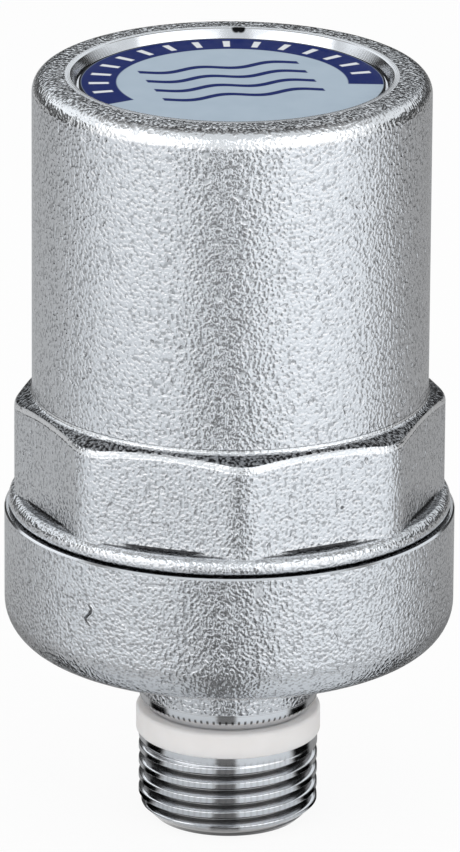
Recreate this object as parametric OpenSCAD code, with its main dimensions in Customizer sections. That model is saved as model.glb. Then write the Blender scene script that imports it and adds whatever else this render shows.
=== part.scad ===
// Water hammer arrestor: a tall forged cover screwed onto a cup shaped inlet body with a male
// pipe thread. Inside, a sprung piston with two seals parts the water from the air chamber.
// Millimetres, +Z up, origin on the axis at the end face of the inlet thread.

/* [Inlet thread] */
// Major diameter of the male pipe thread, drawn as a plain cylinder
thread_d = 20.955; // [19:0.005:24]
// Length of the threaded end below its seal ring
thread_len = 10.3; // [8:0.1:16]
// Lead-in chamfer at the end of the thread, equal along and across the axis
thread_chamfer = 1.75; // [0.5:0.05:2]
// Diameter of the waterway through the thread and the neck
inlet_d = 14; // [8:0.5:14.5]

/* [Seal ring and neck] */
// Depth of the seal ring's groove below the crests of the thread
ring_groove_depth = 1.28; // [0.8:0.02:1.6]
// Height of the seal ring along the axis
ring_h = 3.1; // [2:0.1:5]
// How far the seal ring stands proud of the crests of the thread
ring_proud = 0.32; // [0.1:0.02:0.8]
// Rounding of the seal ring's outer edges
ring_edge = 0.35; // [0.1:0.05:0.6]
// Diameter of the neck above the seal ring
neck_d = 20.8; // [19:0.1:23]
// Distance from the seal ring to the underside of the cup
neck_len = 8.6; // [7:0.1:14]
// Fillet where the neck runs into the underside of the cup
neck_fillet = 2.5; // [1:0.1:3.5]

/* [Cup of the inlet body] */
// How far the machined rim of the cup stands out beyond the cover's flange
rim_lip = 0.5; // [0.2:0.05:1.5]
// Height of the cup from its underside to its rim
cup_h = 16.2; // [14:0.1:24]
// Thickness of the cup's floor
cup_floor_t = 3; // [2.5:0.1:4]
// Rounding of the cup's lower outside corner
cup_round = 5; // [2:0.1:6]
// Fillet between the cup's floor and its wall, inside
cup_inside_fillet = 1.5; // [0.5:0.1:2]
// Chamfer of the cup's rim, outside
rim_chamfer = 0.2; // [0.1:0.05:0.4]

/* [Cover] */
// Diameter of the barrel
barrel_d = 46; // [42:0.5:56]
// Height of the barrel above the wrench flats
barrel_h = 38.2; // [34:0.1:60]
// Wall of the barrel around its bore
barrel_wall = 4; // [3:0.1:5]
// Rounding of the barrel's top edge
barrel_round = 2.1; // [0.5:0.1:2.5]
// Fillet at the foot of the barrel
barrel_fillet = 0.5; // [0.2:0.05:0.5]
// Diameter of the round recess in the top of the cover
recess_d = 35.7; // [20:0.1:36]
// Depth of the recess
recess_depth = 1.35; // [0.8:0.05:3]
// Thickness of the cover's roof below the recess
roof_t = 4.5; // [3:0.1:8]
// Fillet between the roof and the bore, inside
roof_fillet = 2; // [0.5:0.1:4]

/* [Wrench section of the cover] */
// Number of wrench flats
flat_count = 8; // [6, 8, 12]
// How far the wrench flats stand out from the barrel
flat_step = 0.6; // [0.3:0.05:1.5]
// Height from the flange to the foot of the barrel
wrench_h = 11.95; // [8:0.05:20]
// Rounding of the corners between the wrench flats
wrench_corner_r = 1.2; // [0.4:0.1:3]
// Slope of the turned chamfer over the wrench section, in degrees
wrench_slope = 23.5; // [10:0.5:35]
// How far the flange stands out from the wrench flats
flange_step = 2.1; // [1.5:0.1:4]
// Height of the flange
flange_h = 2; // [1.5:0.1:4]
// Rounding of the flange's upper edge
flange_round = 1.1; // [0.3:0.1:1.2]
// Chamfer of the flange's lower edge
flange_chamfer = 0.3; // [0.1:0.05:0.3]

/* [Spigot of the cover] */
// Wall of the screwed spigot around the bore
spigot_wall = 4.35; // [3.6:0.05:4.5]
// Gap left between the spigot's end and the cup's floor
spigot_end_gap = 2.5; // [1:0.1:4]
// Chamfer of the bore's mouth and of the spigot's end
spigot_chamfer = 1; // [0.3:0.1:1.2]
// Radial clearance between the spigot and the cup, both drawn without their thread
spigot_clearance = 0.05; // [0.02:0.01:0.15]

/* [Label] */
// Gap between the label disc and the wall of the recess
label_gap = 0.25; // [0.1:0.05:2]
// Thickness of the label disc
label_t = 0.35; // [0.2:0.05:0.7]

/* [Piston] */
// Length of the piston
piston_len = 22.6; // [20:0.1:28]
// Wall of the piston around the spring
piston_wall = 4.45; // [4:0.05:6]
// Thickness of the piston's crown
crown_t = 3; // [2:0.1:5]
// Width of the foot ring that the piston stands on
foot_w = 3; // [1.5:0.1:5]
// Height of the foot ring
foot_h = 1; // [0.5:0.1:2]
// Chamfer of the piston's outside edges
piston_chamfer = 0.8; // [0.2:0.1:1.2]
// Radial clearance of the piston in its bore
piston_clearance = 0.05; // [0.02:0.01:0.1]
// Gap under the piston when it is down
piston_seat_gap = 0.05; // [0.02:0.01:0.3]

/* [Seals] */
// Section diameter of the two piston seals
piston_seal_w = 2.1; // [1.6:0.1:2.4]
// Height of the lower seal above the piston's foot
lower_seal_h = 9; // [8:0.1:10]
// Distance of the upper seal below the piston's top edge
upper_seal_drop = 5; // [3:0.1:6]
// Section diameter of the seal between the cover and the cup
cover_seal_w = 1.6; // [1.2:0.1:2]
// Distance of that seal below the rim of the cup
cover_seal_drop = 2.2; // [1.8:0.1:2.8]
// Side room of every seal in its groove, on each side
seal_side_room = 0.25; // [0.1:0.05:0.4]
// Radial play of every seal, on each side
seal_play = 0.04; // [0.02:0.01:0.08]

/* [Spring] */
// Diameter of the spring's wire
wire_d = 2.6; // [1.8:0.1:3]
// Play between the spring and the inside of the piston
spring_side_play = 0.6; // [0.3:0.1:2]
// Turns between the two closed ends
active_turns = 6; // [4:1:8]
// Gap between the two turns of a closed end
closed_gap = 0.2; // [0.1:0.05:0.4]
// Play at each seat of the spring
spring_seat_play = 0.05; // [0.02:0.01:0.2]

/* [Hidden] */
$fn = 128;
// Overshoot of a cut past the face that it opens
past = 1;
// Sides of the spring's wire and steps along each of its turns, both even
wire_sides = 10;
turn_steps = 20;

// Heights, from the thread's end upwards
ring_top_z = thread_len + ring_h;
cup_z = ring_top_z + neck_len;
floor_z = cup_z + cup_floor_t;
rim_z = cup_z + cup_h;
ledge_z = rim_z + flange_h;
shoulder_z = ledge_z + wrench_h;
top_z = shoulder_z + barrel_h;
recess_z = top_z - recess_depth;
ceiling_z = recess_z - roof_t;
spigot_z = floor_z + spigot_end_gap;
cover_seal_z = rim_z - cover_seal_drop;

// Radii, from the waterway outwards
inlet_r = inlet_d / 2;
thread_r = thread_d / 2;
groove_r = thread_r - ring_groove_depth;
neck_r = neck_d / 2;
barrel_r = barrel_d / 2;
bore_r = barrel_r - barrel_wall;
flat_r = barrel_r + flat_step;
flange_r = flat_r + flange_step;
cup_r = flange_r + rim_lip;
spigot_r = bore_r + spigot_wall;
cup_bore_r = spigot_r + spigot_clearance;

// Piston at rest on the cup's floor
piston_r = bore_r - piston_clearance;
piston_z = floor_z + piston_seat_gap;
crown_z = piston_z + foot_h + crown_t;
pocket_r = piston_r - piston_wall;

// Spring between the piston's crown and the cover's roof
wire_r = wire_d / 2;
coil_r = pocket_r - spring_side_play - wire_r;
coil_low_z = crown_z + spring_seat_play;
coil_high_z = ceiling_z - spring_seat_play;
coil_turns = active_turns + 2;
closed_rise = wire_d + closed_gap;

// Height of the wire's centre after a number of turns: one closed turn at each end
function wire_z(turn) =
    turn < 1 ? coil_low_z + closed_rise * turn :
    turn > coil_turns - 1 ? coil_high_z - closed_rise * (coil_turns - turn) :
    coil_low_z + closed_rise
        + (coil_high_z - coil_low_z - 2 * closed_rise) * (turn - 1) / active_turns;

// A height kept between the two ground end faces of the spring
function ground_z(z) = min(max(z, coil_low_z), coil_high_z);

// Corner piece of a fillet or rounding: a square less the circle that touches two of its sides
module web(r) {
    difference() {
        square(r);
        translate([r, r]) circle(r);
    }
}

// Corner piece of a chamfer
module bevel(size) {
    polygon([[0, 0], [size, 0], [0, size]]);
}

// Half section of a ring with a rectangular section
module ring_section(inside_r, outside_r, low_z, high_z) {
    translate([inside_r, low_z]) square([outside_r - inside_r, high_z - low_z]);
}

// Half section of the groove for a seal whose outer wall lies at wall_r
module seal_groove(wall_r, seal_w, centre_z) {
    half_h = seal_w / 2 + seal_side_room;
    ring_section(wall_r - seal_w - 2 * seal_play, wall_r + past, centre_z - half_h, centre_z + half_h);
}

// Seal ring of round section that fills the groove up to wall_r
module seal(wall_r, seal_w, centre_z) {
    translate([0, 0, centre_z])
        rotate_extrude()
            translate([wall_r - seal_play - seal_w / 2, 0])
                circle(d = seal_w, $fn = 48);
}

// Outline of the wrench section: flats joined by round corners
module flats_outline() {
    turn = 360 / flat_count;
    corner = (flat_r - wrench_corner_r) / cos(turn / 2);
    polygon([
        for (i = [0 : flat_count - 1], side = [-1, 1])
            let (middle = turn * (i + 0.5), normal = middle + side * turn / 2)
            corner * [cos(middle), sin(middle)] + wrench_corner_r * [cos(normal), sin(normal)]
    ]);
    for (i = [0 : flat_count - 1])
        rotate(turn * (i + 0.5))
            translate([corner, 0])
                circle(wrench_corner_r, $fn = 48);
}

// Wrench flats under their turned chamfer, rooted in the flange
module wrench_section() {
    root_z = ledge_z - flange_round;
    edge_z = shoulder_z - (flange_r - barrel_r) * tan(wrench_slope);
    intersection() {
        translate([0, 0, root_z]) linear_extrude(shoulder_z - root_z) flats_outline();
        rotate_extrude()
            polygon([[0, root_z], [flange_r, root_z], [flange_r, edge_z], [barrel_r, shoulder_z], [0, shoulder_z]]);
    }
}

// Half section of the fillet between the barrel and the turned chamfer
module foot_fillet() {
    centre = [barrel_r + barrel_fillet,
              shoulder_z + barrel_fillet * (1 - sin(wrench_slope)) / cos(wrench_slope)];
    touch = centre - barrel_fillet * [sin(wrench_slope), cos(wrench_slope)];
    difference() {
        polygon([[barrel_r, centre.y], [barrel_r, shoulder_z], touch]);
        translate(centre) circle(barrel_fillet);
    }
}

// Half section of the cover without its wrench flats
module cover_section() {
    difference() {
        union() {
            ring_section(0, barrel_r, spigot_z, top_z);
            ring_section(0, flange_r, rim_z, ledge_z);
            ring_section(0, spigot_r, spigot_z, rim_z);
            foot_fillet();
        }
        translate([barrel_r, top_z]) rotate(180) web(barrel_round);
        translate([flange_r, ledge_z]) rotate(180) web(flange_round);
        translate([flange_r, rim_z]) mirror([1, 0]) bevel(flange_chamfer);
        translate([spigot_r, spigot_z]) mirror([1, 0]) bevel(spigot_chamfer);
        seal_groove(cup_bore_r, cover_seal_w, cover_seal_z);
    }
}

// Half section of the air chamber and of the label's recess, cut from the cover
module cover_hollow() {
    difference() {
        ring_section(0, bore_r, spigot_z - past, ceiling_z);
        translate([bore_r, ceiling_z]) rotate(180) web(roof_fillet);
    }
    translate([bore_r, spigot_z]) bevel(spigot_chamfer);
    ring_section(0, recess_d / 2, recess_z, top_z + past);
}

module cover() {
    color("silver")
        difference() {
            union() {
                rotate_extrude() cover_section();
                wrench_section();
            }
            rotate_extrude() cover_hollow();
        }
}

// Half section of the inlet body before its waterway and cup are bored
module inlet_body_solid() {
    neck_start_z = ring_top_z + neck_r - groove_r;
    ring_section(0, thread_r, 0, thread_len);
    ring_section(0, groove_r, 0, cup_z);
    polygon([[0, ring_top_z], [groove_r, ring_top_z], [neck_r, neck_start_z], [neck_r, cup_z], [0, cup_z]]);
    translate([neck_r, cup_z]) mirror([0, 1]) web(neck_fillet);
    difference() {
        ring_section(0, cup_r, cup_z, rim_z);
        translate([cup_r, cup_z]) mirror([1, 0]) web(cup_round);
        translate([cup_r, rim_z]) rotate(180) bevel(rim_chamfer);
    }
}

module inlet_body() {
    color("silver")
        rotate_extrude()
            difference() {
                inlet_body_solid();
                translate([thread_r, 0]) mirror([1, 0]) bevel(thread_chamfer);
                ring_section(0, inlet_r, -past, floor_z + past);
                difference() {
                    ring_section(0, cup_bore_r, floor_z, rim_z + past);
                    translate([cup_bore_r, floor_z]) mirror([1, 0]) web(cup_inside_fillet);
                }
            }
}

module thread_seal_ring() {
    ring_r = thread_r + ring_proud;
    color("white")
        rotate_extrude()
            difference() {
                ring_section(groove_r, ring_r, thread_len, ring_top_z);
                translate([ring_r, thread_len]) mirror([1, 0]) web(ring_edge);
                translate([ring_r, ring_top_z]) rotate(180) web(ring_edge);
            }
}

module label_disc() {
    color("lightsteelblue")
        translate([0, 0, recess_z])
            cylinder(r = recess_d / 2 - label_gap, h = label_t);
}

module cover_seal_ring() {
    color("dimgray") seal(cup_bore_r, cover_seal_w, cover_seal_z);
}

module piston() {
    top = piston_z + piston_len;
    color("whitesmoke")
        rotate_extrude()
            difference() {
                ring_section(0, piston_r, piston_z, top);
                ring_section(0, pocket_r, crown_z, top + past);
                ring_section(0, piston_r - foot_w, piston_z - past, piston_z + foot_h);
                translate([piston_r, piston_z]) mirror([1, 0]) bevel(piston_chamfer);
                translate([piston_r, top]) rotate(180) bevel(piston_chamfer);
                seal_groove(bore_r, piston_seal_w, piston_z + lower_seal_h);
                seal_groove(bore_r, piston_seal_w, top - upper_seal_drop);
            }
}

module piston_seal_lower() {
    color("dimgray") seal(bore_r, piston_seal_w, piston_z + lower_seal_h);
}

module piston_seal_upper() {
    color("dimgray") seal(bore_r, piston_seal_w, piston_z + piston_len - upper_seal_drop);
}

// Round wire swept along the coil, with its two ends ground flat
module return_spring() {
    steps = coil_turns * turn_steps;
    half = wire_sides / 2;
    points = [
        for (i = [0 : steps], k = [0 : wire_sides - 1])
            let (turn = i / turn_steps,
                 side = 360 * k / wire_sides,
                 r = coil_r + wire_r * cos(side))
            [r * cos(360 * turn), r * sin(360 * turn), ground_z(wire_z(turn) + wire_r * sin(side))]
    ];
    skin = [
        for (i = [0 : steps - 1], k = [0 : wire_sides - 1])
            let (here = i * wire_sides + k,
                 beside = i * wire_sides + (k + 1) % wire_sides)
            each [[here, beside, beside + wire_sides], [here, beside + wire_sides, here + wire_sides]]
    ];
    // Triangles across one end of the wire, between its upper and lower edge
    cap = [
        for (k = [0 : half - 1])
            let (across = wire_sides - 1 - k)
            each [if (k < half - 1) [k, k + 1, across], if (k > 0) [k, across, across + 1]]
    ];
    last = steps * wire_sides;
    start_cap = [for (t = cap) [t[0], t[2], t[1]]];
    end_cap = [for (t = cap) [for (k = t) k + last]];
    color("gray") polyhedron(points, concat(skin, start_cap, end_cap));
}

cover();
inlet_body();
thread_seal_ring();
label_disc();
cover_seal_ring();
piston();
piston_seal_lower();
piston_seal_upper();
return_spring();
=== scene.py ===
import math

import bmesh
import bpy
from mathutils import Matrix, Vector


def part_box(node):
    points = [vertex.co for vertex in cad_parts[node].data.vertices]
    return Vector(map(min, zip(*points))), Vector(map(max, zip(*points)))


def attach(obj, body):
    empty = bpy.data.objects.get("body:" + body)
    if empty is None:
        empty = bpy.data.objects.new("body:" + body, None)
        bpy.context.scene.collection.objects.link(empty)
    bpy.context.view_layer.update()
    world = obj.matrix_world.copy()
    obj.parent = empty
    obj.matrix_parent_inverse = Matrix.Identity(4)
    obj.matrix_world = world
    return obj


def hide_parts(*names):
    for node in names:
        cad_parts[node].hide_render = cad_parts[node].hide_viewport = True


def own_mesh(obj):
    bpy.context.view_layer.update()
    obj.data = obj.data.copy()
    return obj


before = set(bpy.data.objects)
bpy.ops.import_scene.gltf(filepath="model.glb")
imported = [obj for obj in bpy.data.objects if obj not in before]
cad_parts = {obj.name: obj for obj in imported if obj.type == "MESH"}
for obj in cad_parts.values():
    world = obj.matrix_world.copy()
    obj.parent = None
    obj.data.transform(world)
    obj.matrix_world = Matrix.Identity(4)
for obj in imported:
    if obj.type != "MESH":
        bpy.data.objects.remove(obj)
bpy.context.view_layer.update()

# Units: the scene is in metres, and sizes are in millimetres where no other unit is named
MM = 0.001
FULL_TURN = 2 * math.pi

# The photograph's view: direction from the front, distance, height above the foot, tilt, roll and lens
VIEW_AZIMUTH = 18.5
VIEW_DISTANCE = 1000.0
VIEW_HEIGHT = 392.0
VIEW_PITCH = 19.0
VIEW_ROLL = 0.38
VIEW_LENS = 385.0
VIEW_CLIP_END = 20000.0
VIEW_TURN = math.radians(VIEW_AZIMUTH)

# Sizes that the solids give
COVER_LOW, COVER_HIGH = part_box("cover")
BODY_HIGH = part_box("inlet_body")[1]
RING_LOW, RING_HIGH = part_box("thread_seal_ring")
LABEL_LOW, LABEL_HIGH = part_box("label_disc")
SPRING_LOW, SPRING_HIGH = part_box("return_spring")
TOP_Z = COVER_HIGH.z / MM
SPIGOT_Z = COVER_LOW.z / MM
FLANGE_R = COVER_HIGH.x / MM
CUP_R = BODY_HIGH.x / MM
RIM_Z = BODY_HIGH.z / MM
RECESS_Z = LABEL_LOW.z / MM
LABEL_R = LABEL_HIGH.x / MM
RING_LOW_Z = RING_LOW.z / MM
RING_TOP_Z = RING_HIGH.z / MM
CEILING_Z = SPRING_HIGH.z / MM

# Sizes of the cover, and the angle in degrees at which the arc of the recess's edge starts
BARREL_R = 23.0
BARREL_ROUND = 2.1
BORE_R = 19.0
RECESS_R = 17.85
RECESS_LEAN = 0.6
RECESS_EDGE = 0.2
RECESS_EDGE_START = 155
SHOULDER_Z = 52.15
SHOULDER_SLOPE = math.radians(23.5)
SHOULDER_ROUND = 0.9
SHOULDER_ROUND_SHARE = 0.55
FOOT_FILLET = 0.5
FLAT_R = 23.6
FLAT_COUNT = 8
FLAT_FOOT_FILLET = 0.5
FLAT_FOOT_STEP = 0.04
CORNER_ROUND = 6.0
FLANGE_H = 2.0
FLANGE_ROUND = 1.1
FLANGE_EDGE = 0.75
SPIGOT_R = 23.35
SPIGOT_EDGE = 1.0
ROOF_FILLET = 2.0
SEAL_GROOVE_R = 21.72
SEAL_GROOVE_H = 2.1
SEAL_GROOVE_DROP = 2.2
LEDGE_Z = RIM_Z + FLANGE_H
LEDGE_R = FLANGE_R - FLANGE_ROUND

# Sizes of the inlet body
CUP_Z = 22.0
CUP_ROUND = 5.0
CUP_FLOOR_Z = 25.0
CUP_BORE_R = 23.4
CUP_INSIDE_FILLET = 1.5
RIM_EDGE = 0.2
NECK_R = 10.4
NECK_FILLET = 2.5
NECK_BAND = 1.0
NECK_EDGE = 0.15
GROOVE_R = 9.1975
INLET_R = 7.0
INLET_EDGE = 0.3

# Sizes of the pipe thread, and the shares of half a pitch at which its flank starts and ends
THREAD_R = 10.4775
THREAD_PITCH = 1.814
THREAD_DEPTH = 1.16
THREAD_CHAMFER = 1.75
THREAD_END_Z = 9.6
THREAD_RUNOUT = 0.9
THREAD_FLANK = (0.3, 0.95)
THREAD_REACH_DEPTHS = 2.2

# Sizes of the spring
WIRE_R = 1.3
COIL_R = 12.6
ACTIVE_TURNS = 6
CLOSED_RISE = 2.8

# Fineness of the meshes
COLUMNS_PER_FLAT = 48
CORNER_CROWDING = 0.8
BODY_COLUMNS = 300
THREAD_ROWS_PER_PITCH = 28
COIL_STEPS_PER_TURN = 48
WIRE_SIDES = 16
SHARP_ANGLE = math.radians(35)

# Finish numbers of the faces of a turned piece
BLASTED, MACHINED, BARE = 0, 1, 2

# Blasted plating: sizes of its unevenness, from fine to coarse, and the depth of the whole
PEPPER_SIZE = 0.28
GRAIN_SIZE = 0.38
PIT_SIZE = 1.1
DIMPLE_SIZE = 1.4
SWELL_SIZE = 7.0
BLASTED_DEPTH = 0.16

# Blasted plating: levels of the noise between which a mark starts or ends
PIT_EDGE = (0.2, 0.3)
WORN_EDGE = (0.35, 0.65)
HOLLOW_EDGE = (0.32, 0.45)
PEPPER_EDGE = (0.47, 0.54)

# Blasted plating: weights of its marks in the painted shade and the dirt, the painted highlights and the
# painted shade of the hollows, the relief and the roughness
LEDGE_SHADE = 0.75
NOOK_SHADE = 1.08
SCRATCH_DIRT = 0.9
CONE_SHADE = 1.15
CONE_SHADE_WORN_LOSS = 0.58
FLAW_DIRT = 0.9
PEPPER_DIRT = 0.95
SHADE_AND_DIRT_COVER = 0.9
BRIM_HIGHLIGHT = 0.3
TOP_BRIGHTENING = 0.25
HOLLOW_SHADE = 0.6
HOLLOW_SHADE_HIGHLIGHT_LOSS = 0.6
DIMPLE_RELIEF = 0.22
SWELL_RELIEF = 0.4
PIT_RELIEF = 0.4
SCRATCH_RELIEF = 1.5
LIP_RELIEF = 0.8
HIGHLIGHT_RELIEF_LOSS = 0.4
BLASTED_ROUGHNESS = 0.24
WORN_ROUGHNESS_LOSS = 0.04
PIT_ROUGHNESS = 0.2
TOP_ROUGHNESS_LOSS = 0.06

# Zones of the cover's painted shade, painted highlights and rough top by height: low end, high end and
# softness of the ends
LEDGE_BAND = (LEDGE_Z - 0.25, LEDGE_Z + 0.12, 0.06)
NOOK_BAND = (LEDGE_Z - 0.25, LEDGE_Z + 0.4, 0.06)
JOINT_BAND = (RIM_Z - 0.1, RIM_Z + 0.6, 0.08)
CROWN_BAND = (TOP_Z - 1.9, TOP_Z - 0.4, 0.3)
BRIM_BAND = (RIM_Z + 0.9, LEDGE_Z + 0.1, 0.15)
TOP_START = (TOP_Z - 0.5, TOP_Z - 0.1)

# Zones of the cover's painted shade and painted highlights by height over its conical shoulder
CONE_BAND = (-0.12, 0.1, 0.04)
ARRIS_BAND = (-0.8, -0.2, 0.12)
FOOT_BAND = (0.12, 0.5, 0.08)

# Distances from the axis between which a zone of the cover's painted shade or painted highlight starts or
# ends
LEDGE_END = (LEDGE_R, LEDGE_R + 0.3)
NOOK_END = (FLAT_R + 0.35, FLAT_R + 0.65)
JOINT_END = (FLANGE_R - 0.2, FLANGE_R - 0.02)
CROWN_START = (BARREL_R - BARREL_ROUND, BARREL_R - 1.5)
BRIM_START = (LEDGE_R - 0.1, LEDGE_R + 0.2)
CONE_START = (BARREL_R + 0.1, BARREL_R + 0.3)
ARRIS_START = (FLAT_R - 0.4, FLAT_R - 0.2)
FOOT_END = (BARREL_R + 0.3, BARREL_R + 0.4)

# Casting scratch on the cup: its direction in degrees from the front, its height and its zones
SCRATCH_AZIMUTH = -19.5
SCRATCH_Z = 31.8
SCRATCH_BEND = 0.4
SCRATCH_WAVE = 2.6
SCRATCH_WIDTH = (-0.14, 0.14, 0.08)
SCRATCH_LIP = (0.2, 0.5, 0.1)
SCRATCH_LENGTH = (-1.15, 1.15, 0.25)

# Small pits in the metal: direction in degrees from the front, distance from the axis, height and size
FLAWS = [
    (52.7, BARREL_R, 81.5, 0.25),
    (51.3, 23.74, 44.8, 0.28),
    (-31.0, BARREL_R, 66.0, 0.22),
    (165.0, 24.43, 47.0, 0.26),
    (228.0, BARREL_R, 72.0, 0.24),
    (300.0, 26.2, 33.5, 0.26),
    (195.5, 18.45, 90.3, 0.65),
    (197.2, 18.45, 90.3, 0.65),
]
FLAW_CORE = 0.6

# Machined plating: zones of the thread and the serrated neck, and the weights of their marks and of the
# painted shade in the thread's roots and along its foot
SERRATIONS = 88
SERRATION_EDGE = (0.2, 0.6)
SERRATED_BAND = (14.4, 14.85, 0.12)
THREAD_TOP = (9.5, 9.9)
THREAD_ROOT = (THREAD_R - 0.9, THREAD_R - 0.28)
THREAD_CREST = (THREAD_R - 0.22, THREAD_R - 0.1)
THREAD_FOOT = (0.5, 0.75)
CREST_NOTCHES = 0.15
ROOT_SHADE = 0.8
FOOT_SHADOW = 0.95

# Cloudy finishes: size of the clouds, roughness and its rise in them, and the relief's depth and marks
CLOUD_DETAIL = 3.0
TURNED_CLOUD = 2.5
TURNED_ROUGHNESS = (0.08, 0.1)
TURNED_DEPTH = 0.002
TURNED_PITCH = 0.18
BRASS_CLOUD = 3.0
BRASS_ROUGHNESS = (0.25, 0.2)
BRASS_DEPTH = 0.006
BRASS_PITCH = 0.3
SEAL_CLOUD = 3.0
SEAL_ROUGHNESS = (0.42, 0.15)
SEAL_DEPTH = 0.02
SEAL_CUT_SIZE = 0.25
SEAL_CLOUD_RELIEF = 0.5
FILM_CLOUD = 4.0
FILM_ROUGHNESS = (0.32, 0.12)
FILM_DEPTH = 0.02
RUBBER_CLOUD = 1.2
RUBBER_ROUGHNESS = (0.25, 0.3)
RUBBER_DEPTH = 0.03
ACETAL_CLOUD = 4.0
ACETAL_ROUGHNESS = (0.34, 0.16)
ACETAL_DEPTH = 0.004
ACETAL_PITCH = 0.25
ACETAL_CLOUD_RELIEF = 2
WIRE_STREAK = 0.8
WIRE_ROUGHNESS = (0.22, 0.18)
WIRE_DEPTH = 0.012

# Light that enters the white seal plastic: its weight, and its reach by colour and on the whole
SEAL_SCATTER = 0.8
SEAL_SCATTER_COLOUR = (1.0, 0.95, 0.9)
SEAL_SCATTER_REACH = 2.5

# Printed label: its turn in degrees, and its motifs in shares of its radius or in radians
LABEL_TURN = 34.0
ARC_BAND = (0.755, 0.985, 0.006)
ARC_END = (1.86, 1.88)
TICK_BAND = (0.805, 0.935, 0.006)
TICK_END = (1.74, 1.76)
TICK_EDGE = (0.3, 0.4)
TICK_RATE = 14
WAVE_RATE = 13
WAVE_HEIGHT = 0.035
WAVE_ROW_RATE = 15
WAVE_ROW_SHIFT = 0.18
WAVE_BAND = (-0.405, 0.47, 0.004)
WAVE_END = (0.53, 0.54)
WAVE_EDGE = (0.86, 0.93)
FILM_EDGE = (0.982, 0.99)
FILM_GLOSS = 0.02
INK_SINK = 0.3

# Colours of the finishes, where a pair goes from thin to thick clouds
CHROME = (0.755, 0.768, 0.79, 1)
# Colour of the painted shade in the grain's hollows
CHROME_HOLLOW_SHADE = (0.28, 0.285, 0.295, 1)
# Colour of the painted highlights on the cover's edges
CHROME_HIGHLIGHT = (0.935, 0.943, 0.955, 1)
# Dark colour of the painted shade and the dirt on the blasted plating
CHROME_SHADE_AND_DIRT = (0.03, 0.03, 0.032, 1)
TURNED_TONES = ((0.78, 0.79, 0.81, 1), (0.88, 0.89, 0.91, 1))
# Dark colour of the painted shade in the thread's roots and of the neck's notches
TURNED_SHADE_AND_NOTCHES = (0.16, 0.155, 0.15, 1)
# Dark colour of the painted shadow at the thread's foot and of the pits' dirt
TURNED_SHADE_AND_DIRT = (0.012, 0.012, 0.013, 1)
BRASS_TONES = ((0.60, 0.42, 0.16, 1), (0.76, 0.56, 0.26, 1))
SEAL_TONES = ((0.86, 0.82, 0.795, 1), (0.93, 0.89, 0.87, 1))
FILM_TONES = ((0.37, 0.46, 0.55, 1), (0.45, 0.54, 0.63, 1))
FILM_INK = (0.007, 0.018, 0.125, 1)
FILM_TICK = (0.74, 0.77, 0.80, 1)
# Colour of the painted shadow round the label's edge
FILM_EDGE_SHADE = (0.008, 0.008, 0.010, 1)
RUBBER_TONES = ((0.012, 0.012, 0.013, 1), (0.035, 0.035, 0.036, 1))
ACETAL_TONES = ((0.72, 0.70, 0.64, 1), (0.84, 0.82, 0.77, 1))
WIRE_TONES = ((0.40, 0.41, 0.43, 1), (0.58, 0.59, 0.61, 1))
WHITE = (1, 1, 1, 1)
TABLE_WHITE = (0.88, 0.88, 0.88, 1)

# Studio, in metres: table, lamps, and the cards that only the metal's reflections show
FLOOR_REACH = 4.0
FLOOR_DROP = 0.0001
FLOOR_GLOW = 0.92
ROOM_LIGHT = 0.8
LAMP_ELEVATION = 22
LAMP_DISTANCE = 0.6
LAMP_SIZE = (0.66, 0.6)
MAT_R = 0.0095
MAT_Z = 0.0004
WALL_R = 0.75
WALL_TOP_Z = 0.75
ROOF_R = 0.02
ROOF_Z = 0.95
CARD_STEP = 5

# Greys of the cards between two angles in degrees, counted to the right from the camera
CARD_TONES = [(-200, -92, 0.53), (-92, -13, 0.77), (-13, 9, 0.18), (9, 92, 0.92), (92, 200, 0.42)]
CARD_BLACK = 0.02
CARD_SOFTNESS = 2.0
FRONT_TONE = 0.85

# Zones of the cards, in degrees from the camera or in metres
LAMP_SECTORS = [(12, 76, 3), (-82, -18, 3)]
SIDE_SECTOR = (78, 112, 5)
MAT_INNER = (0.042, 0.05)
MAT_RING = (0.046, 0.082, 0.012)
UPRIGHT_START = (0.005, 0.01)
HALF_START = (0, 0.1)
BACK_GLOW_START = (0.27, 0.33)
LAMP_SHADE_END = (0.3, 0.36)
ROOF_START = (0.74, 0.77)

# Shades and glow of the cards' zones, and the cool tint of their bright tones
MAT_RING_SHADE = 0.42
ROOF_SHADE = 0.6
INNER_SHADE = 0.12
SIDE_SHADE = 0.88
BACK_SHADE = 0.9
BACK_GLOW = 2.0
LAMP_SHADE = 0.6
COOL_START = (0.4, 0.75)
COOL_TINT = (-0.05, -0.01, 0.025)


class Value:
    """A node's output that can be used in arithmetic."""

    def __init__(self, graph, socket):
        self.graph = graph
        self.socket = socket

    def __add__(self, other):
        return self.graph.maths("ADD", self, other)

    def __sub__(self, other):
        return self.graph.maths("SUBTRACT", self, other)

    def __mul__(self, other):
        return self.graph.maths("MULTIPLY", self, other)

    def __truediv__(self, other):
        return self.graph.maths("DIVIDE", self, other)

    def __rsub__(self, other):
        return self.graph.maths("SUBTRACT", other, self)

    __radd__ = __add__
    __rmul__ = __mul__


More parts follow.
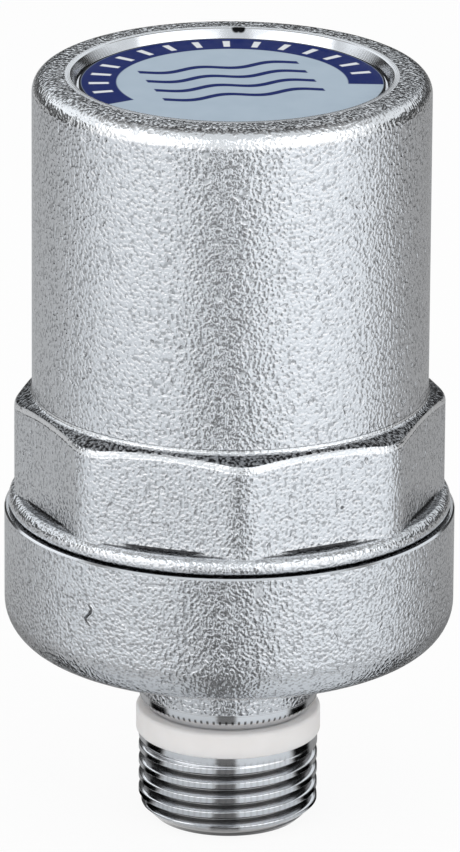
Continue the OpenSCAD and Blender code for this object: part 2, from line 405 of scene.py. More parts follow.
class Graph:
    """Adds nodes to a node tree, for materials and for shapes alike."""

    def __init__(self, tree):
        self.tree = tree

    def node(self, kind, settings=None, sockets=None):
        """One node: its settings come first, then the values or links of its sockets."""
        made = self.tree.nodes.new(kind)
        for name, value in (settings or {}).items():
            setattr(made, name, value)
        for key, value in (sockets or {}).items():
            if isinstance(value, Value):
                self.tree.links.new(value.socket, made.inputs[key])
            else:
                made.inputs[key].default_value = value
        return made

    def out(self, kind, settings=None, sockets=None, output=0):
        """The output of a new node."""
        return Value(self, self.node(kind, settings, sockets).outputs[output])

    def maths(self, operation, *values):
        """The result of a Math node."""
        return self.out("ShaderNodeMath", {"operation": operation}, dict(enumerate(values)))

    def largest(self, first, *others):
        """The largest of some values."""
        for other in others:
            first = self.maths("MAXIMUM", first, other)
        return first

    def length(self, x, y):
        """Distance of a point from the axis."""
        return self.maths("SQRT", x * x + y * y)

    def step(self, value, low, high):
        """0 below low and 1 above high, smooth between them."""
        sockets = {"Value": value, "From Min": low, "From Max": high}
        return self.out("ShaderNodeMapRange", {"interpolation_type": "SMOOTHSTEP"}, sockets)

    def band(self, value, low, high, soft):
        """1 between low and high, with soft edges."""
        return self.step(value, low - soft, low + soft) * (1 - self.step(value, high - soft, high + soft))

    def tint(self, factor, first, second):
        """Colour that goes from first to second with factor."""
        colours = {"Factor": factor, 6: first, 7: second}
        return self.out("ShaderNodeMix", {"data_type": "RGBA"}, colours, output=2)

    def noise(self, place, size, detail=2.0, rough=0.5, distortion=0.0):
        """Noise with features about size millimetres across."""
        sockets = {"Vector": place, "Scale": 1 / (size * MM), "Detail": detail,
                   "Roughness": rough, "Distortion": distortion}
        return self.out("ShaderNodeTexNoise", None, sockets)

    def clouds(self, place, size):
        """Soft clouds about size millimetres across."""
        return self.noise(place, size, detail=CLOUD_DETAIL)

    def marks(self, way, pitch):
        """Wave along a way in metres, with its crests pitch millimetres apart."""
        return self.maths("SINE", way * (FULL_TURN / (pitch * MM)))

    def bump(self, height, depth):
        """Normal of a surface whose height runs over depth millimetres."""
        return self.out("ShaderNodeBump", None, {"Height": height, "Distance": depth * MM, "Strength": 1.0})

    def parts(self, vector):
        """The x, y and z of a vector."""
        split = self.node("ShaderNodeSeparateXYZ", None, {0: vector})
        return [Value(self, socket) for socket in split.outputs]

    def join(self, x, y, z):
        """The vector of an x, a y and a z."""
        return self.out("ShaderNodeCombineXYZ", None, {0: x, 1: y, 2: z})

    def object_place(self):
        """Object coordinates of the surface."""
        return self.out("ShaderNodeTexCoord", output="Object")


def empty_graph(owner):
    """The emptied node tree of a material or of the world."""
    owner.use_nodes = True
    owner.node_tree.nodes.clear()
    return Graph(owner.node_tree)


def new_object(name, data):
    """A new object in the scene that holds a mesh, a lamp or a camera."""
    made = bpy.data.objects.new(name, data)
    bpy.context.collection.objects.link(made)
    return made


def finish(build):
    """A material named after build, which makes its nodes and returns the shader's sockets."""
    made = bpy.data.materials.new(build.__name__)
    graph = empty_graph(made)
    shader = graph.out("ShaderNodeBsdfPrincipled", None, build(graph, graph.object_place()))
    graph.node("ShaderNodeOutputMaterial", None, {"Surface": shader})
    return made


def flaws(graph, place):
    """1 in the small pits of the metal."""
    spots = []
    for azimuth, radius, height, size in FLAWS:
        turn = math.radians(azimuth)
        middle = (radius * math.sin(turn) * MM, -radius * math.cos(turn) * MM, height * MM)
        away = graph.out("ShaderNodeVectorMath", {"operation": "DISTANCE"}, {0: place, 1: middle}, "Value")
        spots.append(1 - graph.step(away / MM, size * FLAW_CORE, size))
    return graph.largest(*spots)


def scratch_and_lip(graph, x, y, height):
    """1 in the casting scratch of the cup, and 1 on the raised lip beside it."""
    up = height - SCRATCH_Z
    turn = graph.maths("ARCTAN2", x, 0 - y) - math.radians(SCRATCH_AZIMUTH)
    across = turn * CUP_R - graph.maths("SINE", up * SCRATCH_WAVE) * SCRATCH_BEND
    along = graph.band(up, *SCRATCH_LENGTH)
    return [graph.band(across, *width) * along for width in (SCRATCH_WIDTH, SCRATCH_LIP)]


def blasted_plating(graph, place):
    """Satin chrome over shot-blasted forged metal."""
    x, y, z = graph.parts(place)
    radius, height = graph.length(x, y) / MM, z / MM
    over_cone = height - SHOULDER_Z + (radius - BARREL_R) * math.tan(SHOULDER_SLOPE)
    grain = graph.noise(place, GRAIN_SIZE, detail=0.6, rough=0.45, distortion=0.15)
    dimple = graph.noise(place, DIMPLE_SIZE, detail=1.0)
    swell = graph.noise(place, SWELL_SIZE, detail=1.0)
    pits = 1 - graph.step(graph.noise(place, PIT_SIZE, detail=0.0), *PIT_EDGE)
    worn = graph.step(grain, *WORN_EDGE)
    top = graph.step(height, *TOP_START)
    scratch, lip = scratch_and_lip(graph, x, y, height)

    # Painted shade on the ledge, in the nook, in the joint and on the conical shoulder, and dirt in the
    # scratch, the pits and the rough top
    # Painted shade on the ledge and in the nook at the foot of the wrench flats
    ledge = graph.band(height, *LEDGE_BAND) * (1 - graph.step(radius, *LEDGE_END))
    nook = graph.band(height, *NOOK_BAND) * (1 - graph.step(radius, *NOOK_END))
    # Painted shadow in the joint between the flange and the cup's rim
    joint = graph.band(height, *JOINT_BAND) * (1 - graph.step(radius, *JOINT_END))
    # Painted shade on the conical shoulder, thinner on the grain's high spots
    cone = graph.band(over_cone, *CONE_BAND) * graph.step(radius, *CONE_START)
    pepper = (1 - graph.step(graph.noise(place, PEPPER_SIZE, detail=0.5), *PEPPER_EDGE)) * top
    # Painted shade and real dirt share one mask and one dark colour
    painted_shade_and_dirt = graph.largest(
        ledge * LEDGE_SHADE, nook * NOOK_SHADE, joint, scratch * SCRATCH_DIRT,
        cone * (CONE_SHADE - worn * CONE_SHADE_WORN_LOSS), flaws(graph, place) * FLAW_DIRT, pepper * PEPPER_DIRT)

    # Painted highlights: brighter metal on the crown fillet, the flange's round, the shoulder's edge and the
    # barrel's foot, and the rough top a little brighter
    crown = graph.band(height, *CROWN_BAND) * graph.step(radius, *CROWN_START)
    brim = graph.band(height, *BRIM_BAND) * graph.step(radius, *BRIM_START)
    arris = graph.band(over_cone, *ARRIS_BAND) * graph.step(radius, *ARRIS_START)
    foot = graph.band(over_cone, *FOOT_BAND) * (1 - graph.step(radius, *FOOT_END))
    painted_highlight_and_bright_top = graph.largest(crown, brim * BRIM_HIGHLIGHT, top * TOP_BRIGHTENING, arris, foot)

    # Painted shade in the grain's hollows, less where the highlights are painted
    painted_hollow_shade = (1 - graph.step(grain, *HOLLOW_EDGE)) * (1 - painted_highlight_and_bright_top * HOLLOW_SHADE_HIGHLIGHT_LOSS)
    chrome = graph.tint(painted_hollow_shade * HOLLOW_SHADE, CHROME, CHROME_HOLLOW_SHADE)
    chrome = graph.tint(painted_highlight_and_bright_top, chrome, CHROME_HIGHLIGHT)
    relief = (
        grain + dimple * DIMPLE_RELIEF + swell * SWELL_RELIEF - pits * PIT_RELIEF
        - scratch * SCRATCH_RELIEF + lip * LIP_RELIEF)
    roughness = BLASTED_ROUGHNESS - worn * WORN_ROUGHNESS_LOSS + pits * PIT_ROUGHNESS
    roughness = roughness - top * TOP_ROUGHNESS_LOSS
    return {
        "Base Color": graph.tint(painted_shade_and_dirt * SHADE_AND_DIRT_COVER, chrome, CHROME_SHADE_AND_DIRT),
        "Metallic": 1.0,
        "Roughness": roughness,
        "Normal": graph.bump(relief * (1 - painted_highlight_and_bright_top * HIGHLIGHT_RELIEF_LOSS), BLASTED_DEPTH),
    }


def cloudy(graph, cloud, tones, roughness, relief, depth):
    """Shader sockets of a finish whose tone and roughness go with its clouds."""
    start, rise = roughness
    return {
        "Base Color": graph.tint(cloud, *tones),
        "Roughness": start + cloud * rise,
        "Normal": graph.bump(relief, depth),
    }


def machined_plating(graph, place):
    """Bright chrome over a lathe-turned face."""
    x, y, z = graph.parts(place)
    reach = graph.length(x, y)
    radius, height = reach / MM, z / MM
    cuts = graph.marks(z + reach, TURNED_PITCH)
    haze = graph.clouds(place, TURNED_CLOUD)
    on_thread = 1 - graph.step(height, *THREAD_TOP)
    # Painted shade in the thread's roots
    root = (1 - graph.step(radius, *THREAD_ROOT)) * on_thread
    crest = graph.step(radius, *THREAD_CREST) * on_thread
    teeth = graph.maths("SINE", graph.maths("ARCTAN2", y, x) * SERRATIONS)
    serrated = graph.largest(crest * CREST_NOTCHES, graph.band(height, *SERRATED_BAND))
    notches = graph.step(teeth, *SERRATION_EDGE) * serrated
    # Painted shadow along the thread's bottom edge
    foot = 1 - graph.step(height, *THREAD_FOOT)
    sockets = cloudy(graph, haze, TURNED_TONES, TURNED_ROUGHNESS, cuts + haze, TURNED_DEPTH)
    # The roots' painted shade and the neck's notches share one dark colour
    shaded_and_notched = graph.tint(graph.largest(root * ROOT_SHADE, notches), sockets["Base Color"], TURNED_SHADE_AND_NOTCHES)
    # Dirt in the pits and the painted shadow at the thread's foot share one dark colour
    painted_shade_and_dirt = graph.largest(flaws(graph, place), foot * FOOT_SHADOW)
    return {**sockets, "Metallic": 1.0, "Base Color": graph.tint(painted_shade_and_dirt, shaded_and_notched, TURNED_SHADE_AND_DIRT)}


def bare_brass(graph, place):
    """Turned brass without plating, inside."""
    x, y, z = graph.parts(place)
    haze = graph.clouds(place, BRASS_CLOUD)
    cuts = graph.marks(z + graph.length(x, y), BRASS_PITCH)
    return {**cloudy(graph, haze, BRASS_TONES, BRASS_ROUGHNESS, cuts, BRASS_DEPTH), "Metallic": 1.0}


def waxy_white(graph, place):
    """Skived white seal plastic."""
    z = graph.parts(place)[2]
    cuts = graph.noise(graph.join(0.0, 0.0, z), SEAL_CUT_SIZE)
    cloud = graph.clouds(place, SEAL_CLOUD)
    relief = cuts + cloud * SEAL_CLOUD_RELIEF
    return {
        **cloudy(graph, cloud, SEAL_TONES, SEAL_ROUGHNESS, relief, SEAL_DEPTH),
        "Subsurface Weight": SEAL_SCATTER,
        "Subsurface Radius": SEAL_SCATTER_COLOUR,
        "Subsurface Scale": SEAL_SCATTER_REACH * MM,
    }


def printed_film(graph, place):
    """Pale label film with a dark graduated arc and four waves, no lettering."""
    turned = graph.out("ShaderNodeMapping", None, {
        "Vector": place, "Rotation": (0, 0, -math.radians(LABEL_TURN)), "Scale": (1 / (LABEL_R * MM),) * 3})
    x, y, _ = graph.parts(turned)
    radius = graph.length(x, y)
    angle = graph.maths("ARCTAN2", x, y)
    spread = graph.maths("ABSOLUTE", angle)
    dark_arc = graph.band(radius, *ARC_BAND) * (1 - graph.step(spread, *ARC_END))
    tick_turn = graph.maths("ABSOLUTE", graph.maths("SINE", angle * TICK_RATE))
    tick = graph.band(radius, *TICK_BAND) * (1 - graph.step(tick_turn, *TICK_EDGE))
    ticks = tick * (1 - graph.step(spread, *TICK_END))
    wave_y = y + graph.maths("SINE", x * WAVE_RATE) * WAVE_HEIGHT
    wave_turn = graph.maths("ABSOLUTE", graph.maths("SINE", (wave_y + WAVE_ROW_SHIFT) * WAVE_ROW_RATE))
    wave_field = graph.band(wave_y, *WAVE_BAND) * (1 - graph.step(graph.maths("ABSOLUTE", x), *WAVE_END))
    waves = graph.step(wave_turn, *WAVE_EDGE) * wave_field
    fade = graph.noise(place, FILM_CLOUD)
    sockets = cloudy(graph, fade, FILM_TONES, FILM_ROUGHNESS, fade - dark_arc * INK_SINK, FILM_DEPTH)
    inked = graph.tint(graph.largest(dark_arc, waves), sockets["Base Color"], FILM_INK)
    marked = graph.tint(ticks, inked, FILM_TICK)
    # Painted shadow round the label's edge
    edge_shaded = graph.tint(graph.step(radius, *FILM_EDGE), marked, FILM_EDGE_SHADE)
    return {**sockets, "Base Color": edge_shaded, "Specular IOR Level": FILM_GLOSS}


def black_rubber(graph, place):
    """Moulded seal rubber with a trace of grease."""
    cloud = graph.clouds(place, RUBBER_CLOUD)
    return cloudy(graph, cloud, RUBBER_TONES, RUBBER_ROUGHNESS, cloud, RUBBER_DEPTH)


def natural_plastic(graph, place):
    """Turned acetal of the piston."""
    z = graph.parts(place)[2]
    cloud = graph.clouds(place, ACETAL_CLOUD)
    relief = graph.marks(z, ACETAL_PITCH) + cloud * ACETAL_CLOUD_RELIEF
    return cloudy(graph, cloud, ACETAL_TONES, ACETAL_ROUGHNESS, relief, ACETAL_DEPTH)


def drawn_wire(graph, place):
    """Drawn stainless spring wire."""
    streak = graph.noise(place, WIRE_STREAK, detail=4.0, rough=0.6, distortion=0.3)
    return {**cloudy(graph, streak, WIRE_TONES, WIRE_ROUGHNESS, streak, WIRE_DEPTH), "Metallic": 1.0}


def arc(centre, radius, first, last, steps):
    """Points of an arc in the half section, from angle first to last in degrees."""
    turns = [math.radians(first + (last - first) * i / steps) for i in range(steps + 1)]
    return [(centre[0] + radius * math.cos(a), centre[1] + radius * math.sin(a)) for a in turns]


def line(first, last, steps):
    """Points between two corners, without the corners themselves."""
    return [tuple(p + (q - p) * i / steps for p, q in zip(first, last)) for i in range(1, steps)]


def lathe(name, sections, angles, finishes):
    """Closed mesh through half sections at the given angles. A section's ends lie on the axis or meet."""
    mesh = bpy.data.meshes.new(name)
    work = bmesh.new()
    rows = len(sections[0])
    on_axis = sections[0][0][0] == 0
    ends = (0, rows - 1) if on_axis else ()
    poles = {row: work.verts.new((0, 0, sections[0][row][1] * MM)) for row in ends}
    columns = []
    for section, turn in zip(sections, angles):
        columns.append([
            poles.get(row) or work.verts.new((r * math.cos(turn) * MM, r * math.sin(turn) * MM, z * MM))
            for row, (r, z) in enumerate(section)])
    spans = rows - 1 if on_axis else rows
    for column, beside in zip(columns, columns[1:] + columns[:1]):
        for row in range(spans):
            after = (row + 1) % rows
            corners = [column[row], column[after], beside[after], beside[row]]
            face = work.faces.new(list(dict.fromkeys(corners)))
            face.smooth = True
            face.material_index = finishes[row]
    bmesh.ops.recalc_face_normals(work, faces=work.faces)
    work.to_mesh(mesh)
    work.free()
    mesh.set_sharp_from_angle(angle=SHARP_ANGLE)
    return new_object(name, mesh)


def even_angles(count):
    """Angles that share the full turn evenly."""
    return [FULL_TURN * i / count for i in range(count)]


def wrench_angles():
    """Angles round the cover, crowded towards the corners between the flats."""
    pitch = FULL_TURN / FLAT_COUNT
    steps = [i / COLUMNS_PER_FLAT for i in range(COLUMNS_PER_FLAT)]
    eased = [t - CORNER_CROWDING * math.sin(FULL_TURN * t) / FULL_TURN for t in steps]
    return [pitch * (flat + 0.5 + t) for flat in range(FLAT_COUNT) for t in eased]


def flat_radius(turn):
    """Distance from the axis to the wrench section's face at an angle, with round corners."""
    pitch = FULL_TURN / FLAT_COUNT
    off_corner = abs((turn % pitch) - pitch / 2)
    corner = (FLAT_R - CORNER_ROUND) / math.cos(pitch / 2)
    touch = pitch / 2 - math.atan2(corner * math.sin(pitch / 2), FLAT_R)
    if off_corner >= touch:
        return FLAT_R / math.cos(pitch / 2 - off_corner)
    aside = corner * math.sin(off_corner)
    return corner * math.cos(off_corner) + math.sqrt(max(0.0, CORNER_ROUND ** 2 - aside ** 2))


class Section:
    """A half section that is drawn point by point, with the finish of each stretch."""

    def __init__(self):
        self.points = []
        self.finishes = []

    def add(self, points, finish_number):
        """Adds points; the stretch that leads on from each of them has this finish."""
        self.points += points
        self.finishes += [finish_number] * len(points)


def cover_section(turn):
    """Half section of the cover at an angle, from the label's recess over the outside to the bore."""
    draw = Section()

    # Recess, rough top and barrel
    mouth_r = RECESS_R + RECESS_LEAN + RECESS_EDGE
    crown_r, crown_z = BARREL_R - BARREL_ROUND, TOP_Z - BARREL_ROUND
    slope, tilt = SHOULDER_SLOPE, math.degrees(SHOULDER_SLOPE)
    foot = (BARREL_R + FOOT_FILLET, SHOULDER_Z + FOOT_FILLET * (1 - math.sin(slope)) / math.cos(slope))
    draw.add([(0, RECESS_Z), (RECESS_R / 2, RECESS_Z), (RECESS_R, RECESS_Z)], MACHINED)
    draw.add(arc((mouth_r, TOP_Z - RECESS_EDGE), RECESS_EDGE, RECESS_EDGE_START, 90, steps=4), MACHINED)
    draw.add(line((mouth_r, TOP_Z), (crown_r, TOP_Z), steps=4), BLASTED)
    draw.add(arc((crown_r, crown_z), BARREL_ROUND, 90, 0, steps=12), BLASTED)
    draw.add(line((BARREL_R, crown_z), (BARREL_R, foot[1]), steps=24), BLASTED)
    draw.add(arc(foot, FOOT_FILLET, 180, 270 - tilt, steps=5), BLASTED)

    # Conical shoulder, wrench face and flange
    face_r = flat_radius(turn)
    bend = min(SHOULDER_ROUND, (face_r - BARREL_R) * SHOULDER_ROUND_SHARE)
    bend_r = face_r - bend
    bend_z = SHOULDER_Z - (bend_r - BARREL_R) * math.tan(slope) - bend / math.cos(slope)
    start_r = max(face_r + FLAT_FOOT_STEP, LEDGE_R)
    start = math.acos(min(1.0, (start_r - LEDGE_R) / FLANGE_ROUND))
    start_z = LEDGE_Z - FLANGE_ROUND + FLANGE_ROUND * math.sin(start)
    foot_r = min(FLAT_FOOT_FILLET, (start_r - face_r) / 2)
    draw.add(arc((bend_r, bend_z), bend, 90 - tilt, 0, steps=5), BLASTED)
    draw.add(line((face_r, bend_z), (face_r, start_z + foot_r), steps=8), BLASTED)
    draw.add(arc((face_r + foot_r, start_z + foot_r), foot_r, 180, 270, steps=4), BLASTED)
    draw.add(arc((LEDGE_R, LEDGE_Z - FLANGE_ROUND), FLANGE_ROUND, math.degrees(start), 0, steps=8), BLASTED)
    draw.add(arc((FLANGE_R - FLANGE_EDGE, RIM_Z + FLANGE_EDGE), FLANGE_EDGE, 0, -90, steps=4), BLASTED)

    # Spigot with its seal groove, and the bore
    groove_top = RIM_Z - SEAL_GROOVE_DROP + SEAL_GROOVE_H / 2
    groove_low = groove_top - SEAL_GROOVE_H
    draw.add([(SPIGOT_R, RIM_Z), (SPIGOT_R, groove_top), (SEAL_GROOVE_R, groove_top)], BARE)
    draw.add([(SEAL_GROOVE_R, groove_low), (SPIGOT_R, groove_low)], BARE)
    draw.add([(SPIGOT_R, SPIGOT_Z + SPIGOT_EDGE), (SPIGOT_R - SPIGOT_EDGE, SPIGOT_Z)], BARE)
    draw.add([(BORE_R + SPIGOT_EDGE, SPIGOT_Z), (BORE_R, SPIGOT_Z + SPIGOT_EDGE)], BARE)
    draw.add(arc((BORE_R - ROOF_FILLET, CEILING_Z - ROOF_FILLET), ROOF_FILLET, 0, 90, steps=5), BARE)
    draw.add([(BORE_R / 2, CEILING_Z), (0, CEILING_Z)], BARE)
    return draw


def forged_cover(plating, bright, brass):
    """Cover with its barrel, wrench flats and flange, hollow inside."""
    angles = wrench_angles()
    drawn = [cover_section(turn) for turn in angles]
    made = lathe("forged_cover", [d.points for d in drawn], angles, drawn[0].finishes)
    dress(made, [plating, bright, brass])
    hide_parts("cover")


def inlet_section():
    """Half section of the inlet body, from the waterway's mouth over the outside and back down the bore."""
    draw = Section()

    # Pipe thread, before it is cut, and the groove of the seal ring
    end_r = THREAD_R - THREAD_CHAMFER
    thread_rows = round(THREAD_END_Z / THREAD_PITCH * THREAD_ROWS_PER_PITCH)
    draw.add([(INLET_R + INLET_EDGE, 0), (end_r, 0)], MACHINED)
    draw.add(line((end_r, 0), (THREAD_R, THREAD_CHAMFER), steps=16), MACHINED)
    draw.add([(THREAD_R, THREAD_CHAMFER)], MACHINED)
    draw.add(line((THREAD_R, THREAD_CHAMFER), (THREAD_R, THREAD_END_Z), thread_rows), MACHINED)
    draw.add([(THREAD_R, THREAD_END_Z), (THREAD_R, RING_LOW_Z), (GROOVE_R, RING_LOW_Z)], MACHINED)

    # Neck and cup
    neck_z = RING_TOP_Z + NECK_R - GROOVE_R
    draw.add([(GROOVE_R, RING_TOP_Z), (NECK_R - NECK_EDGE, neck_z - NECK_EDGE)], MACHINED)
    draw.add([(NECK_R, neck_z + NECK_EDGE)], MACHINED)
    draw.add([(NECK_R, neck_z + NECK_BAND)], BLASTED)
    draw.add(arc((NECK_R + NECK_FILLET, CUP_Z - NECK_FILLET), NECK_FILLET, 180, 90, steps=8), BLASTED)
    draw.add(arc((CUP_R - CUP_ROUND, CUP_Z + CUP_ROUND), CUP_ROUND, 270, 360, steps=16), BLASTED)
    draw.add(line((CUP_R, CUP_Z + CUP_ROUND), (CUP_R, RIM_Z - RIM_EDGE), steps=10), BLASTED)
    draw.add([(CUP_R, RIM_Z - RIM_EDGE), (CUP_R - RIM_EDGE, RIM_Z)], MACHINED)

    # Inside
    corner = (CUP_BORE_R - CUP_INSIDE_FILLET, CUP_FLOOR_Z + CUP_INSIDE_FILLET)
    draw.add([(CUP_BORE_R, RIM_Z)], BARE)
    draw.add(arc(corner, CUP_INSIDE_FILLET, 0, -90, steps=4), BARE)
    draw.add([(INLET_R, CUP_FLOOR_Z), (INLET_R, INLET_EDGE)], BARE)
    return draw


def shape_graph(name, sizes):
    """A new tree of shape nodes that takes a mesh and the named sizes, with the values of these inputs."""
    tree = bpy.data.node_groups.new(name, "GeometryNodeTree")
    tree.interface.new_socket("Geometry", in_out="INPUT", socket_type="NodeSocketGeometry")
    for size_name in sizes:
        tree.interface.new_socket(size_name, in_out="INPUT", socket_type="NodeSocketFloat")
    tree.interface.new_socket("Geometry", in_out="OUTPUT", socket_type="NodeSocketGeometry")
    graph = Graph(tree)
    given = graph.node("NodeGroupInput")
    return graph, [Value(graph, socket) for socket in given.outputs[:len(sizes) + 1]]


def end_shape(graph, shape, material, chosen=True):
    """Ends a tree of shape nodes with real faces, and the material on the chosen ones."""
    whole = graph.out("GeometryNodeRealizeInstances", None, {"Geometry": shape})
    coated = graph.out("GeometryNodeSetMaterial", None, {
        "Geometry": whole, "Selection": chosen, "Material": material})
    graph.node("NodeGroupOutput", None, {"Geometry": coated})


def grow(made, tree, sizes):
    """Runs shape nodes on a piece with the given sizes and keeps the result as its plain mesh."""
    modifier = made.modifiers.new(tree.name, "NODES")
    modifier.node_group = tree
    for socket in tree.interface.items_tree:
        if socket.in_out == "INPUT" and socket.name in sizes:
            modifier[socket.identifier] = sizes[socket.name]
    view = bpy.context.evaluated_depsgraph_get()
    result = bpy.data.meshes.new_from_object(made.evaluated_get(view))
    made.modifiers.remove(modifier)
    made.data = result


def cut_thread(made, material):
    """Cuts a right-handed thread into every face near the thread's crest."""
    sizes = {
        "Crest radius": THREAD_R * MM,
        "Pitch": THREAD_PITCH * MM,
        "Depth": THREAD_DEPTH * MM,
        "End height": THREAD_END_Z * MM,
        "Run-out": THREAD_RUNOUT * MM,
    }
    graph, (shape, crest, pitch, depth, end, runout) = shape_graph("cut_pipe_thread", sizes)
    x, y, z = graph.parts(graph.out("GeometryNodeInputPosition"))
    radius = graph.length(x, y)
    lead = z / pitch - graph.maths("ARCTAN2", y, x) / FULL_TURN
    saw = graph.maths("PINGPONG", lead, 0.5) * 2
    valley = graph.step(saw, *THREAD_FLANK)
    fading = 1 - graph.step(z, end - runout, end)
    cut_r = crest - depth * valley * fading
    outside = graph.maths("GREATER_THAN", radius, crest - depth * THREAD_REACH_DEPTHS)
    near = graph.maths("LESS_THAN", z, end) * outside
    share = graph.maths("MINIMUM", radius, cut_r) / radius
    moved = graph.join(x * share, y * share, z)
    cut = graph.out("GeometryNodeSetPosition", None, {
        "Geometry": shape, "Selection": near, "Position": moved})
    end_shape(graph, cut, material, near)
    grow(made, graph.tree, sizes)


def inlet_body(plating, bright, brass):
    """Cup, neck and pipe thread of the inlet body."""
    drawn = inlet_section()
    angles = even_angles(BODY_COLUMNS)
    made = lathe("inlet_cup", [drawn.points] * len(angles), angles, drawn.finishes)
    dress(made, [plating, bright, brass])
    cut_thread(made, bright)
    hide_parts("inlet_body")


def wind_spring(made, material):
    """Winds a spring with closed ends and grinds its two end faces flat."""
    sizes = {
        "Coil radius": COIL_R * MM,
        "Wire radius": WIRE_R * MM,
        "Low": SPRING_LOW.z,
        "High": SPRING_HIGH.z,
        "Closed rise": CLOSED_RISE * MM,
        "Active turns": float(ACTIVE_TURNS),
    }
    graph, (_, coil_r, wire_r, low, high, rise, turns) = shape_graph("wind_spring", sizes)
    count = (ACTIVE_TURNS + 2) * COIL_STEPS_PER_TURN + 1
    path = graph.out("GeometryNodeMeshLine", {"mode": "OFFSET"}, {"Count": count})
    turn = graph.out("GeometryNodeInputIndex") / COIL_STEPS_PER_TURN
    first = graph.maths("MINIMUM", turn, 1.0)
    last = graph.maths("MAXIMUM", turn - turns - 1, 0.0)
    middle = turn - first - last
    height = low + rise * (first + last) + (high - low - 2 * rise) * middle / turns
    angle = turn * FULL_TURN
    wound = graph.join(coil_r * graph.maths("COSINE", angle), coil_r * graph.maths("SINE", angle), height)
    helix = graph.out("GeometryNodeSetPosition", None, {"Geometry": path, "Position": wound})
    curve = graph.out("GeometryNodeMeshToCurve", None, {"Mesh": helix})
    round_wire = graph.out("GeometryNodeCurvePrimitiveCircle", None, {
        "Resolution": WIRE_SIDES, "Radius": wire_r})
    wire = graph.out("GeometryNodeCurveToMesh", None, {
        "Curve": curve, "Profile Curve": round_wire, "Fill Caps": True})
    x, y, z = graph.parts(graph.out("GeometryNodeInputPosition"))
    ground_z = graph.maths("MAXIMUM", graph.maths("MINIMUM", z, high), low)
    flat_ends = graph.join(x, y, ground_z)
    ground = graph.out("GeometryNodeSetPosition", None, {"Geometry": wire, "Position": flat_ends})
    end_shape(graph, ground, material)
    grow(made, graph.tree, sizes)


def return_spring(material):
    """Compression spring with closed, ground ends, on the housing."""
    made = new_object("coil_spring", bpy.data.meshes.new("coil_spring"))
    wind_spring(made, material)
    for face in made.data.polygons:
        face.use_smooth = True
    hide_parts("return_spring")
    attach(made, "housing")
    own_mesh(made)


def dress(made, materials):
    """Gives a new piece its materials and its slot, on the housing."""
    for material in materials:
        made.data.materials.append(material)
    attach(made, "housing")


def coat(node_name, material):
    """Gives a solid that keeps its shape its finish."""
    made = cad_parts[node_name]
    made.data.materials.clear()
    made.data.materials.append(material)


def camera():
    """Camera at the photograph's viewing angle."""
    made = new_object("camera", bpy.data.cameras.new("camera"))
    made.data.lens = VIEW_LENS
    made.data.clip_end = VIEW_CLIP_END * MM
    away = Vector((math.sin(VIEW_TURN) * VIEW_DISTANCE, -math.cos(VIEW_TURN) * VIEW_DISTANCE, VIEW_HEIGHT))
    made.matrix_world = (
        Matrix.Translation(away * MM)
        @ Matrix.Rotation(VIEW_TURN, 4, "Z")
        @ Matrix.Rotation(math.radians(90 - VIEW_PITCH), 4, "X")
        @ Matrix.Rotation(math.radians(VIEW_ROLL), 4, "Z"))
    bpy.context.scene.camera = made


def softbox(name, azimuth, glow):
    """Lamp that faces the object, at an azimuth to the right of the camera. Glow is its brightness."""
    made = new_object(name, bpy.data.lights.new(name, "AREA"))
    width, height = LAMP_SIZE
    made.data.shape = "RECTANGLE"
    made.data.size, made.data.size_y = width, height
    made.data.energy = glow * math.pi * width * height
    turn, lift = math.radians(VIEW_AZIMUTH + azimuth), math.radians(LAMP_ELEVATION)
    away = Vector((math.sin(turn) * math.cos(lift), -math.cos(turn) * math.cos(lift), math.sin(lift)))
    aim = Vector((0, 0, TOP_Z * MM / 2))
    made.location = aim + away * LAMP_DISTANCE
    made.rotation_euler = away.to_track_quat("Z", "Y").to_euler()
    made.visible_camera = False


def seen_rays(graph):
    """1 for what the camera sees directly, in gloss or through glass."""
    light = graph.node("ShaderNodeLightPath")
    rays = [Value(graph, light.outputs[n]) for n in ("Is Camera Ray", "Is Glossy Ray", "Is Transmission Ray")]
    return graph.maths("MINIMUM", rays[0] + rays[1] + rays[2], 1.0)


def white_table():
    """Material of the floor: plain white where it is seen, and matt where shadows fall."""
    made = bpy.data.materials.new("white_table")
    graph = empty_graph(made)
    matt = graph.out("ShaderNodeBsdfDiffuse", None, {"Color": TABLE_WHITE})
    glow = graph.out("ShaderNodeEmission", None, {"Color": WHITE, "Strength": 1.0})
    mixed = graph.out("ShaderNodeMixShader", None, {0: seen_rays(graph) * FLOOR_GLOW, 1: matt, 2: glow})
    graph.node("ShaderNodeOutputMaterial", None, {"Surface": mixed})
    return made


def floor():
    """White table that keeps the object's soft shadow."""
    mesh = bpy.data.meshes.new("floor")
    quarters = ((-1, -1), (1, -1), (1, 1), (-1, 1))
    corners = [(x * FLOOR_REACH, y * FLOOR_REACH, -FLOOR_DROP) for x, y in quarters]
    mesh.from_pydata(corners, [], [(0, 1, 2, 3)])
    mesh.materials.append(white_table())
    new_object("floor", mesh)


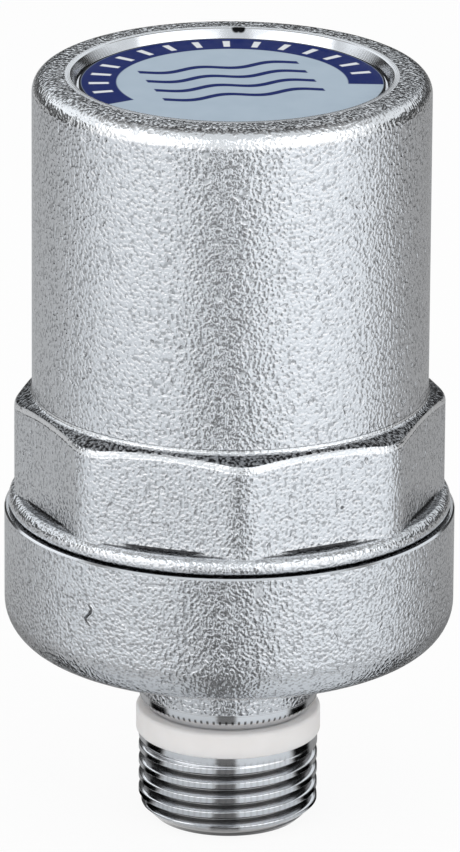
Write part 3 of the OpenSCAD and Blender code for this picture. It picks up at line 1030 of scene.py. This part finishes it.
def card_paper():
    """Studio card whose grey goes by the direction in which it stands, counted from the camera."""
    made = bpy.data.materials.new("card_paper")
    graph = empty_graph(made)
    x, y, z = graph.parts(graph.object_place())
    ahead = x * math.sin(VIEW_TURN) - y * math.cos(VIEW_TURN)
    aside = x * math.cos(VIEW_TURN) + y * math.sin(VIEW_TURN)
    angle = graph.maths("ARCTAN2", aside, ahead) * math.degrees(1)
    reach = graph.length(x, y)
    tone = CARD_BLACK
    for first, last, grey in CARD_TONES:
        tone = graph.band(angle, first, last, CARD_SOFTNESS) * grey + tone

    # Darker roof and table mat
    inner = 1 - graph.step(reach, *MAT_INNER)
    side = graph.band(graph.maths("ABSOLUTE", angle), *SIDE_SECTOR)
    ring = graph.band(reach, *MAT_RING)
    roof = graph.step(z, *ROOF_START)
    dark = graph.largest(ring * MAT_RING_SHADE, roof * ROOF_SHADE, inner * (INNER_SHADE + side * SIDE_SHADE))

    # Wall behind the object: dark below and bright above. Wall before it: even, darker behind the lamps
    upright = graph.step(z, *UPRIGHT_START)
    behind = upright * graph.step(0 - ahead, *HALF_START)
    before = upright * graph.step(ahead, *HALF_START)
    lamps = graph.largest(*[graph.band(angle, *sector) for sector in LAMP_SECTORS])
    lamp_shade = lamps * LAMP_SHADE * (1 - graph.step(z, *LAMP_SHADE_END))
    tone = tone * (1 - dark) * (1 + behind * (graph.step(z, *BACK_GLOW_START) * BACK_GLOW - BACK_SHADE))
    tone = tone * (1 - before) + before * (FRONT_TONE - lamp_shade)

    cool = graph.step(tone, *COOL_START)
    channels = {channel: tone * (1 + cool * shift) for channel, shift in enumerate(COOL_TINT)}
    colour = graph.out("ShaderNodeCombineColor", None, channels)
    matt = graph.out("ShaderNodeBsdfDiffuse", None, {"Color": colour})
    graph.node("ShaderNodeOutputMaterial", None, {"Surface": matt})
    return made


def card(name, profile, paper):
    """Round studio card that the metal reflects. No view shows it."""
    steps = 360 // CARD_STEP
    turns = [math.radians(VIEW_AZIMUTH - 180 + CARD_STEP * i) for i in range(steps + 1)]
    corners = [(math.sin(a) * r, -math.cos(a) * r, z) for a in turns for r, z in profile]
    mesh = bpy.data.meshes.new(name)
    mesh.from_pydata(corners, [], [(2 * i, 2 * i + 1, 2 * i + 3, 2 * i + 2) for i in range(steps)])
    mesh.materials.append(paper)
    made = new_object(name, mesh)
    made.visible_camera = made.visible_diffuse = made.visible_shadow = False


def studio():
    """White room, softboxes, and the cards that give the metal its dark reflections."""
    world = bpy.data.worlds.new("studio")
    bpy.context.scene.world = world
    graph = empty_graph(world)
    world.cycles.sampling_method = "NONE"
    strength = seen_rays(graph) * (1 - ROOM_LIGHT) + ROOM_LIGHT
    background = graph.out("ShaderNodeBackground", None, {"Color": WHITE, "Strength": strength})
    graph.node("ShaderNodeOutputWorld", None, {"Surface": background})
    softbox("right_softbox", azimuth=44, glow=0.95)
    softbox("left_softbox", azimuth=-50, glow=0.9)
    paper = card_paper()
    card("table_mat", [(MAT_R, MAT_Z), (WALL_R, MAT_Z)], paper)
    card("wall_card", [(WALL_R, 0.0), (WALL_R, WALL_TOP_Z)], paper)
    card("roof_card", [(WALL_R, WALL_TOP_Z), (ROOF_R, ROOF_Z)], paper)


bpy.context.scene.view_settings.view_transform = "Standard"
camera()
floor()
studio()

METALS = [finish(build) for build in (blasted_plating, machined_plating, bare_brass)]
forged_cover(*METALS)
inlet_body(*METALS)
return_spring(finish(drawn_wire))
coat("thread_seal_ring", finish(waxy_white))
coat("label_disc", finish(printed_film))
coat("piston", finish(natural_plastic))
RUBBER = finish(black_rubber)
for seal_name in ("cover_seal_ring", "piston_seal_lower", "piston_seal_upper"):
    coat(seal_name, RUBBER)
